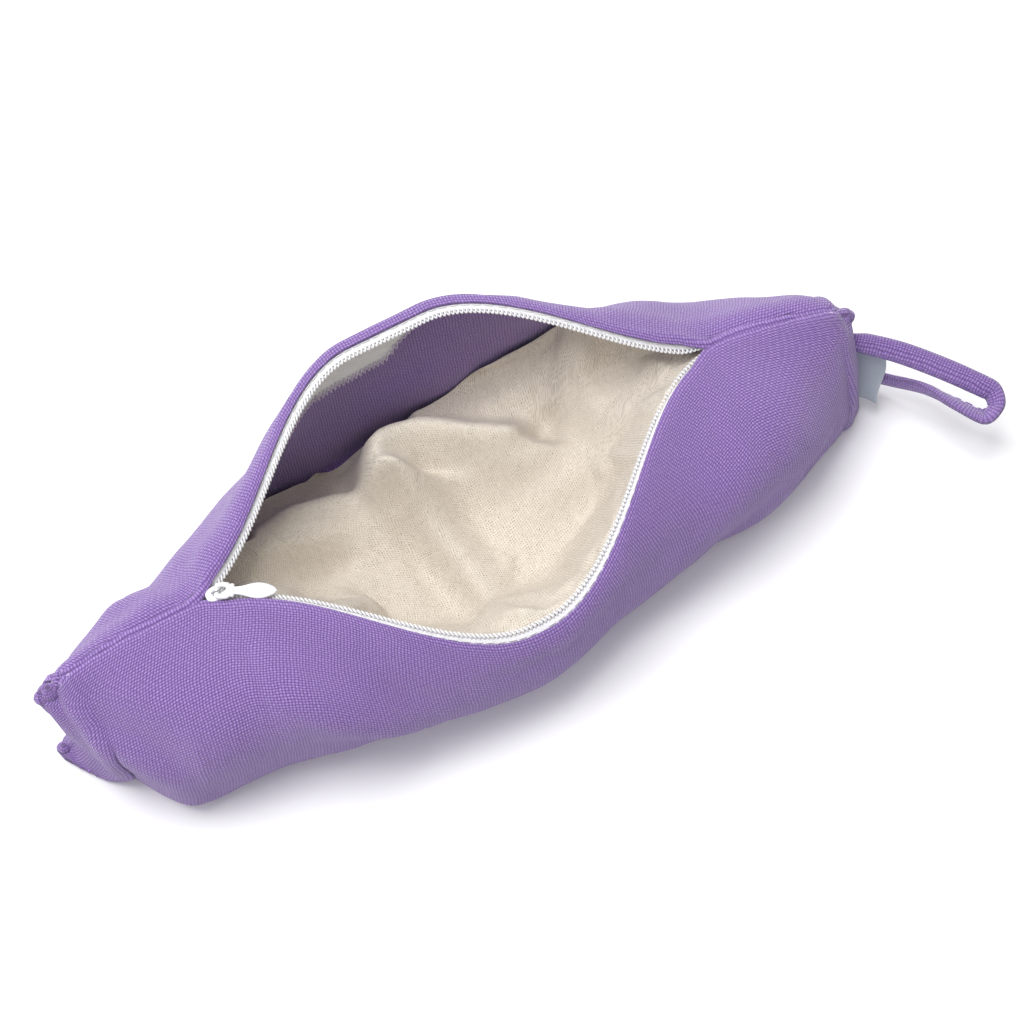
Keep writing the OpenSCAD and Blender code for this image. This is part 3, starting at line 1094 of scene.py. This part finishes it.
def slider():
    """Two shaped plates joined by a post, as seen at the zip end."""
    a = np.linspace(0, 2 * math.pi, 56, endpoint=False)
    waist = 2.35 - 0.35 * bell(np.cos(a) * 4 - 0.4, 1.1)
    across = waist * np.sign(np.sin(a)) * abs(np.sin(a)) ** 0.7
    outline = np.stack([SLIDER_HALF * np.cos(a), across], -1)
    under = slab("slider_under", outline, -2.9, -1.95, 0.3, ENAMEL)
    over = slab("slider_over", outline, 1.3, 2.25, 0.35, ENAMEL)
    post = slab("slider_post", rounded(0.85, 0.7, 2.4), -2.3, 1.8, 0.15, ENAMEL)
    shift(post, (2.4, 0, 0))
    lips = []
    for side in (-1, 1):
        edge = np.stack([np.linspace(-3.2, 2.6, 12), np.full(12, side * 2.15), np.full(12, 1.25)], -1)
        lips.append(tube(f"slider_lip_{side}", edge, 0.32, ENAMEL, 8))
    body = join("slider_shell", [under, over, post] + lips)
    shift(body, (middle_x(*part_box("slider_body")), 0, SEAM_TOP))
    rides(body, "slider")


def bridge():
    """A bent metal staple over the slider."""
    low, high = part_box("slider_bridge")
    foot, top = low[2] / MM, high[2] / MM
    a = np.linspace(0, math.pi, 26)
    x = middle_x(low, high) + 1.75 * np.cos(a) * (1 + 0.12 * np.sin(a))
    z = foot - 0.1 + (top - foot - 0.3) * np.sin(a) ** 0.55
    path = np.stack([x, np.zeros_like(x), z], -1)
    rides(tube("bridge_staple", path, 0.42, STEEL, 10), "slider")


def pull():
    """A thick eye round the staple, a ridge, a thin neck and a long teardrop."""
    spot = [c / MM for c in PULL["pos_m"]]
    eye = rounded(1.75, 1.75, 4.0, 40)
    path = np.column_stack([eye[:, 0] + 1.3, eye[:, 1], np.zeros(40)])
    ring = tube("pull_eye", path, 0.8, ENAMEL, 12, closed=True)
    ridge_y = np.linspace(-1.9, 1.9, 12)
    ridge_path = np.column_stack([np.full(12, 4.1), ridge_y, 0.25 - 0.03 * ridge_y**2])
    ridge = tube("pull_ridge", ridge_path, 0.62, ENAMEL, 10)
    t = np.linspace(0, 1, 40)
    width = spline([0, 0.1, 0.58, 0.86, 0.96, 1], [1.15, 1.2, 2.4, 1.55, 0.8, 0.1], t)
    upper = np.stack([4.2 + 12.8 * t, width], -1)
    outline = np.vstack([upper * [1, -1], upper[::-1]])
    drop = slab("pull_leaf", outline, -0.55, 0.6, 0.5, ENAMEL)
    piece = join("pull_drop", [ring, ridge, drop])
    shift(piece, spot, PULL_YAW)
    rides(piece, "pull")


slider()
bridge()
pull()

# ---------------------------------------------------------------- strap and label

STRAP_HALF_WIDTH = 3.6
STRAP_HALF_T = 1.3
STRAP_YAW = -50


def strap():
    """A folded canvas strip bent into a loop. Local s runs out from the seam, c across, z up."""
    pivot = [c / MM for c in STRAP["pos_m"]]
    s = [-6, 10, 22, 33, 40.5, 44, 41.5, 33, 22.6, 11.1, -4.2]
    c = [0.2, 2.8, 3.8, 4.2, 4.1, 0.2, -4.2, -3.0, 0.2, 1.6, 2.0]
    z = [34, 32.6, 30.4, 28, 26.4, 24.8, 23.6, 23.2, 19.6, 13.9, 8]
    lean = [30, 40, 44, 44, 40, 38, 48, 40, 18, 12, 14]
    knots = arc_length(np.column_stack([s, c, z]))
    at = np.linspace(0, knots[-1], 190)
    s, c, z, lean = (spline(knots, values, at) for values in (s, c, z, lean))
    yaw = math.radians(STRAP_YAW)
    out = np.array([math.cos(yaw), math.sin(yaw), 0])
    across = np.array([-math.sin(yaw), math.cos(yaw), 0])
    path = np.array([pivot[0], pivot[1], 0]) + s[:, None] * out + c[:, None] * across
    path[:, 2] = z
    tangent = np.gradient(path, axis=0)
    tangent /= np.linalg.norm(tangent, axis=1, keepdims=True)
    level = np.cross(tangent, [0, 0, 1.0])
    level /= np.linalg.norm(level, axis=1, keepdims=True)
    up = np.cross(level, tangent)
    tilt = np.radians(lean)[:, None]
    wide = up * np.cos(tilt) - level * np.sin(tilt)
    thick = np.cross(tangent, wide)
    ring = rounded(STRAP_HALF_WIDTH, STRAP_HALF_T, 3.0, 28)
    ring[:, 1] += 0.3 * bell(abs(ring[:, 0]) - 1.2, 1.2) * np.sign(ring[:, 1])
    pinch = 1 - 0.12 * bell(at - knots[5], 4) - 0.35 * smooth((6 - at) / 6)
    points = path[:, None] + wide[:, None] * ring[None, :, :1] * pinch[:, None, None]
    points = points + thick[:, None] * ring[None, :, 1:]
    points[..., 2] = np.maximum(points[..., 2], 0.4)
    n, m = points.shape[:2]
    girth = np.linspace(0, 18, m)
    uv = np.stack(np.broadcast_arrays(at[:, None], girth[None, :]), -1)
    faces = capped_rings(n, m)
    piece = make("strap_webbing", points.reshape(-1, 3), faces, CANVAS, uv.reshape(-1, 2))
    rides(piece, "strap")
    rim = path - wide * 2.4 + thick * STRAP_HALF_T
    paths = [rim[i : i + 5] + thick[i : i + 5] * 0.12 for i in range(6, n - 12, 7)]
    rides(dashes("strap_thread", paths, 0.2, THREAD), "strap")


# Where the label leaves the seam at its foot, and the way from there to its upper corner.
LABEL_FOOT = (129.6, -20.0, 7.5)
LABEL_RISE = (1.9, 9.0, 18.5)
LABEL_HALF_T = 0.62


def label():
    """A blank ribbon folded over, sewn in the side seam under the strap."""
    rows, cols = 26, 30
    h = np.linspace(0, 1, rows)[:, None]
    a = np.linspace(0, 2 * math.pi, cols, endpoint=False)[None, :]
    seam = np.array(LABEL_FOOT) + h[..., None] * np.array(LABEL_RISE)
    reach = 8.2 + 3.6 * smooth(h * 1.1)
    out = np.stack([0.68 + 0 * h, -0.73 + 0 * h, -0.02 - 0.06 * h], -1)
    flat = np.cos(a) * 0.5 + 0.5
    thick = LABEL_HALF_T * np.sign(np.sin(a)) * abs(np.sin(a)) ** 0.5
    side = np.array([0.73, 0.68, 0.0])
    bow = 0.8 * np.sin(flat * math.pi) * (1 - h)
    points = seam + out * (flat * reach)[..., None]
    points = points + side * (thick + bow)[..., None]
    points[..., 2] += 0.5 * np.sin(flat * 3.0)
    uv = np.stack(np.broadcast_arrays(flat * 10, h * 20), -1)
    faces = capped_rings(rows, cols)
    piece = make("label_ribbon", points.reshape(-1, 3), faces, LABEL, uv.reshape(-1, 2))
    rides(piece, "label")


strap()
label()

# ---------------------------------------------------------------- calico lining

CALICO_HALF = 86.0
CALICO_ROWS = 190
CALICO_COLS = 240
CALICO_T = 0.5
# The calico is cut into pieces at these shares of its way from the near zip edge to the far wall.
NEAR_CUT = 0.30
FAR_CUT = 0.66
# The coarser grid that the cloth simulation works on.
SETTLE_ROWS = 84
SETTLE_COLS = 112


def ridge(x, y, line, height, left_width, right_width):
    """A soft ridge along a line of points, with its own slope on each side of the way it runs."""
    best = np.full(np.shape(x), np.inf)
    for (ax, ay), (bx, by) in zip(line[:-1], line[1:]):
        dx, dy = bx - ax, by - ay
        t = np.clip(((x - ax) * dx + (y - ay) * dy) / (dx * dx + dy * dy), 0, 1)
        qx, qy = x - ax - t * dx, y - ay - t * dy
        width = np.where(dx * qy - dy * qx > 0, left_width, right_width)
        best = np.minimum(best, np.hypot(qx, qy) / width)
    return height * np.exp(-(best**2))


# Lines of the main folds seen from above, in millimetres.
LOBE = [(-20, 27), (-12, 31.5), (0, 29.5), (12, 21), (24, 13)]
LEFT_FOLD = [(-58, 19), (-44, 24), (-30, 23.5), (-20, 19), (-12, 16.5)]
LONG_FOLD = [(-16, 25), (-11.5, 14), (-9.5, -3), (-5, -16), (-4.5, -40)]
RIGHT_FOLD = [(56, 30), (46, 17), (50, 5), (64, -5)]

# Smaller folds of the calico: x0, y0, x1, y1, amp and width of crease().
FOLDS = [
    (38, 18, 33, 9, -3.0, 4.0), (33, 9, 19, 9, -2.6, 4.5), (-56, 10, -34, 11, 2.0, 4.0),
    (-56, 3, -32, 4, -1.8, 4.0), (-17, 8, -14, -26, -2.0, 5.0), (2, 6, 6, -30, -1.6, 6.0),
    (14, -8, 58, -4, 1.6, 5.0), (16, -18, 56, -12, -1.4, 4.5), (-44, -16, -28, -30, -2.6, 5.0),
    (-66, 8, -46, 14, 1.2, 4.0), (54, 12, 76, 2, 1.6, 4.0), (10, 30, 40, 26, 1.4, 4.0),
    (-31, 38, -23, 36, -4.5, 4.5),
]


def calico_grid(rows, cols):
    """The lining as it is laid in, before it settles."""
    a = np.linspace(0, 1, rows)[:, None]
    x = np.linspace(-CALICO_HALF, CALICO_HALF, cols)[None, :]
    aa, xx = np.broadcast_arrays(a, x)
    start = zip_point(xx[0], "near", 1.5, -1.1)
    y0, z0 = start[:, 1], start[:, 2]
    floor = spline([-86, -78, -60, -40, -20, 0, 20, 40, 60, 78, 86],
                   [46, 42, 29, 20, 14, 13, 16, 22, 33, 45, 46], xx)
    meet = spline([-86, -78, -66, -55, -41, -25, -5, 10, 24, 40, 56, 72, 80, 86],
                  [46, 43, 29, 20, 12, 7, 13, 16, 18, 25, 41, 50, 49, 46], xx)
    y1 = far_inside(xx, meet)
    y1 = np.maximum(y1, y0 + 0.5)
    y = y0 + (y1 - y0) * aa
    drop = smooth(aa * 3.4)
    z = z0 * (1 - drop) + floor * drop
    rise = smooth((aa - 0.6) / 0.4)
    z = z * (1 - rise) + meet * rise
    z = z + ridge(xx, y, LOBE, 22.0, 5.0, 13.0) * smooth((xx + 25) / 6)
    z = z + ridge(xx, y, LEFT_FOLD, 13.0, 4.0, 14.0)
    z = z + ridge(xx, y, LONG_FOLD, 9.0, 10.0, 4.0)
    z = z + ridge(xx, y, RIGHT_FOLD, 6.5, 8.0, 6.0)
    for f in FOLDS:
        z = z + 1.6 * crease(xx, y, *f) * smooth(aa * 8)
    z = z + (1.0 * wander(xx, y, 22, 5.3) + 0.35 * wander(xx, y, 8, 1.9)) * smooth(aa * 8)
    z = np.maximum(z, 2.2)
    high = z0 + 40 * aa
    z = np.minimum(z, np.maximum(high, z0))
    y = np.minimum(y, far_inside(xx, z) + 0.2)
    return soften(np.stack([xx, y, z], -1), 2)


# Frames of cloth simulation, the most that a point may move in them, and how far outside the
# canvas grid the shell is that stops the cloth.
SETTLE_FRAMES = 14
SETTLE_CAP = 4.0
SHELL_OUT = CANVAS_T + 0.5


def settle(grid):
    """Lets the laid cloth fall and wrinkle inside the pouch.

    The zip edge, both ends and the right part of the far edge are held.
    """
    rows, cols = grid.shape[:2]
    scene = bpy.context.scene
    wall = LAT - LAT_N * SHELL_OUT
    wall = wall[::3, ::3]
    blocker = make("pouch_inside", wall.reshape(-1, 3), grid_faces(*wall.shape[:2]), CANVAS)
    blocker.modifiers.new("Collision", "COLLISION")
    blocker.collision.thickness_outer = 0.0008
    blocker.collision.use_culling = False
    cloth = make("laid_cloth", grid.reshape(-1, 3), grid_faces(rows, cols), CALICO)
    held = cloth.vertex_groups.new(name="held")
    index = np.arange(rows * cols).reshape(rows, cols)
    fixed = set(index[:3].ravel()) | set(index[:, :3].ravel()) | set(index[:, -3:].ravel())
    fixed |= set(index[-2:, int(cols * 0.68):].ravel())
    held.add([int(i) for i in fixed], 1.0, "REPLACE")
    mod = cloth.modifiers.new("Cloth", "CLOTH")
    mod.settings.quality = 7
    mod.settings.mass = 0.15
    mod.settings.tension_stiffness = 12
    mod.settings.compression_stiffness = 12
    mod.settings.shear_stiffness = 4
    mod.settings.bending_stiffness = 0.12
    mod.settings.shrink_min = -0.06
    mod.settings.vertex_group_mass = "held"
    mod.settings.effector_weights.gravity = 0.06
    mod.settings.air_damping = 4
    mod.collision_settings.distance_min = 0.0008
    mod.collision_settings.collision_quality = 3
    mod.collision_settings.use_self_collision = False
    mod.point_cache.frame_start = 1
    mod.point_cache.frame_end = SETTLE_FRAMES
    for frame_number in range(1, SETTLE_FRAMES + 1):
        scene.frame_set(frame_number)
    solved = cloth.evaluated_get(bpy.context.evaluated_depsgraph_get()).to_mesh()
    co = np.zeros(len(solved.vertices) * 3)
    solved.vertices.foreach_get("co", co)
    scene.frame_set(1)
    for obj in (cloth, blocker):
        mesh = obj.data
        bpy.data.objects.remove(obj)
        bpy.data.meshes.remove(mesh)
    move = co.reshape(rows, cols, 3) / MM - grid
    size = np.linalg.norm(move, axis=-1, keepdims=True)
    return grid + move * np.minimum(1, SETTLE_CAP / np.maximum(size, 1e-6))


def finer(grid, rows, cols):
    """The same sheet with more points, softened a little."""
    a = np.linspace(0, grid.shape[0] - 1, rows)
    b = np.linspace(0, grid.shape[1] - 1, cols)
    i = np.minimum(a.astype(int), grid.shape[0] - 2)
    j = np.minimum(b.astype(int), grid.shape[1] - 2)
    u = (a - i)[:, None, None]
    v = (b - j)[None, :, None]
    left = grid[i][:, j] * (1 - u) + grid[i + 1][:, j] * u
    right = grid[i][:, j + 1] * (1 - u) + grid[i + 1][:, j + 1] * u
    out = left * (1 - v) + right * v
    for _ in range(4):
        soft = out.copy()
        soft[1:-1] = (out[:-2] + 2 * out[1:-1] + out[2:]) / 4
        out = soft.copy()
        out[:, 1:-1] = (soft[:, :-2] + 2 * soft[:, 1:-1] + soft[:, 2:]) / 4
    return out


def lining():
    """The settled calico, cut into pieces at the near wall, at the far wall and in the middle. The
    middle piece rides the case; the others are baked in place.
    """
    grid = settle(calico_grid(SETTLE_ROWS, SETTLE_COLS))
    grid = finer(grid, CALICO_ROWS, CALICO_COLS)
    n = normals(grid)
    n *= np.sign(n[CALICO_ROWS // 2, CALICO_COLS // 2, 2])
    uv = cloth_uv(grid, True)
    near_cut = int(CALICO_ROWS * NEAR_CUT)
    far_cut = int(CALICO_ROWS * FAR_CUT)
    half = CALICO_COLS // 2
    near, far = slice(0, near_cut + 1), slice(far_cut, CALICO_ROWS)
    left, right = slice(0, half + 1), slice(half, CALICO_COLS)
    parts = {
        "near_left": (near, left, "near", -1),
        "near_right": (near, right, "near", 1),
        "far_left": (far, left, "far", -1),
        "far_right": (far, right, "far", 1),
        "middle": (slice(near_cut, far_cut + 1), slice(0, CALICO_COLS), None, 0),
    }
    for word, (rows, cols, wall, side) in parts.items():
        cloth = grid[rows, cols], n[rows, cols], CALICO_T, CALICO, uv[rows, cols]
        piece = sheet(f"calico_{word}", *cloth)
        if wall:
            bends(piece)
        else:
            rides(piece, "case")


lining()

# ---------------------------------------------------------------- floor, light, camera

# Where the light comes from, and how strong the world is away from it and towards it.
BRIGHT_SIDE = (-0.42, 0.5, 0.75)
WORLD_DIM = 0.22
WORLD_BRIGHT = 1.12
WORLD_DIM_UP_TO = -0.35
KEY_PLACE = (-0.3, 0.35, 1.8)
KEY_SIZE = 0.9
KEY_WATTS = 25


def stage():
    """The floor, the world and one soft key light."""
    n = Nodes("floor")
    grain = n.noise(n.place(), 60.0, 2.0)
    floor_mat = n.finish(n.mix(grain, (0.90, 0.90, 0.91), (0.92, 0.92, 0.93)), 0.6)
    bpy.ops.mesh.primitive_plane_add(size=8, location=(0, 0, -0.0002))
    floor = bpy.context.object
    floor.name = "floor"
    floor.data.materials.append(floor_mat)
    world = bpy.data.worlds.new("studio")
    bpy.context.scene.world = world
    world.use_nodes = True
    nodes, links = world.node_tree.nodes, world.node_tree.links
    where = nodes.new("ShaderNodeTexCoord")
    facing = nodes.new("ShaderNodeVectorMath")
    facing.operation = "DOT_PRODUCT"
    facing.inputs[1].default_value = Vector(BRIGHT_SIDE).normalized()
    links.new(where.outputs["Generated"], facing.inputs[0])
    spread = nodes.new("ShaderNodeMapRange")
    for slot, value in zip(spread.inputs[1:5], (WORLD_DIM_UP_TO, 1.0, WORLD_DIM, WORLD_BRIGHT)):
        slot.default_value = value
    links.new(facing.outputs["Value"], spread.inputs[0])
    nodes["Background"].inputs[0].default_value = (1.0, 1.0, 1.0, 1)
    links.new(spread.outputs[0], nodes["Background"].inputs[1])
    light = bpy.data.lights.new("key", "AREA")
    light.size = KEY_SIZE
    light.energy = KEY_WATTS
    obj = bpy.data.objects.new("key", light)
    bpy.context.scene.collection.objects.link(obj)
    obj.location = KEY_PLACE
    obj.rotation_mode = "QUATERNION"
    obj.rotation_quaternion = (-Vector(KEY_PLACE)).to_track_quat("-Z", "Y")
    bpy.context.scene.view_settings.view_transform = "Standard"


stage()

# The view of the photo: angles in degrees, the rest in metres. SENSOR is in millimetres.
AZIMUTH, ELEVATION, DISTANCE, FIELD = -28.3, 70.0, 0.67, 25.0
TARGET = Vector((0.0076, -0.0188, 0.055))
SENSOR = 36


def camera():
    """Looks at TARGET from where the photo was taken."""
    cam_data = bpy.data.cameras.new("camera")
    cam = bpy.data.objects.new("camera", cam_data)
    bpy.context.scene.collection.objects.link(cam)
    a, e = math.radians(AZIMUTH), math.radians(ELEVATION)
    back = Vector((math.sin(a) * math.cos(e), -math.cos(a) * math.cos(e), math.sin(e)))
    cam.location = TARGET + back * DISTANCE
    cam.rotation_mode = "QUATERNION"
    cam.rotation_quaternion = (-back).to_track_quat("-Z", "Y")
    cam_data.sensor_width = SENSOR
    cam_data.lens = SENSOR / 2 / math.tan(math.radians(FIELD / 2))
    cam_data.clip_start = 0.01
    bpy.context.scene.camera = cam


camera()
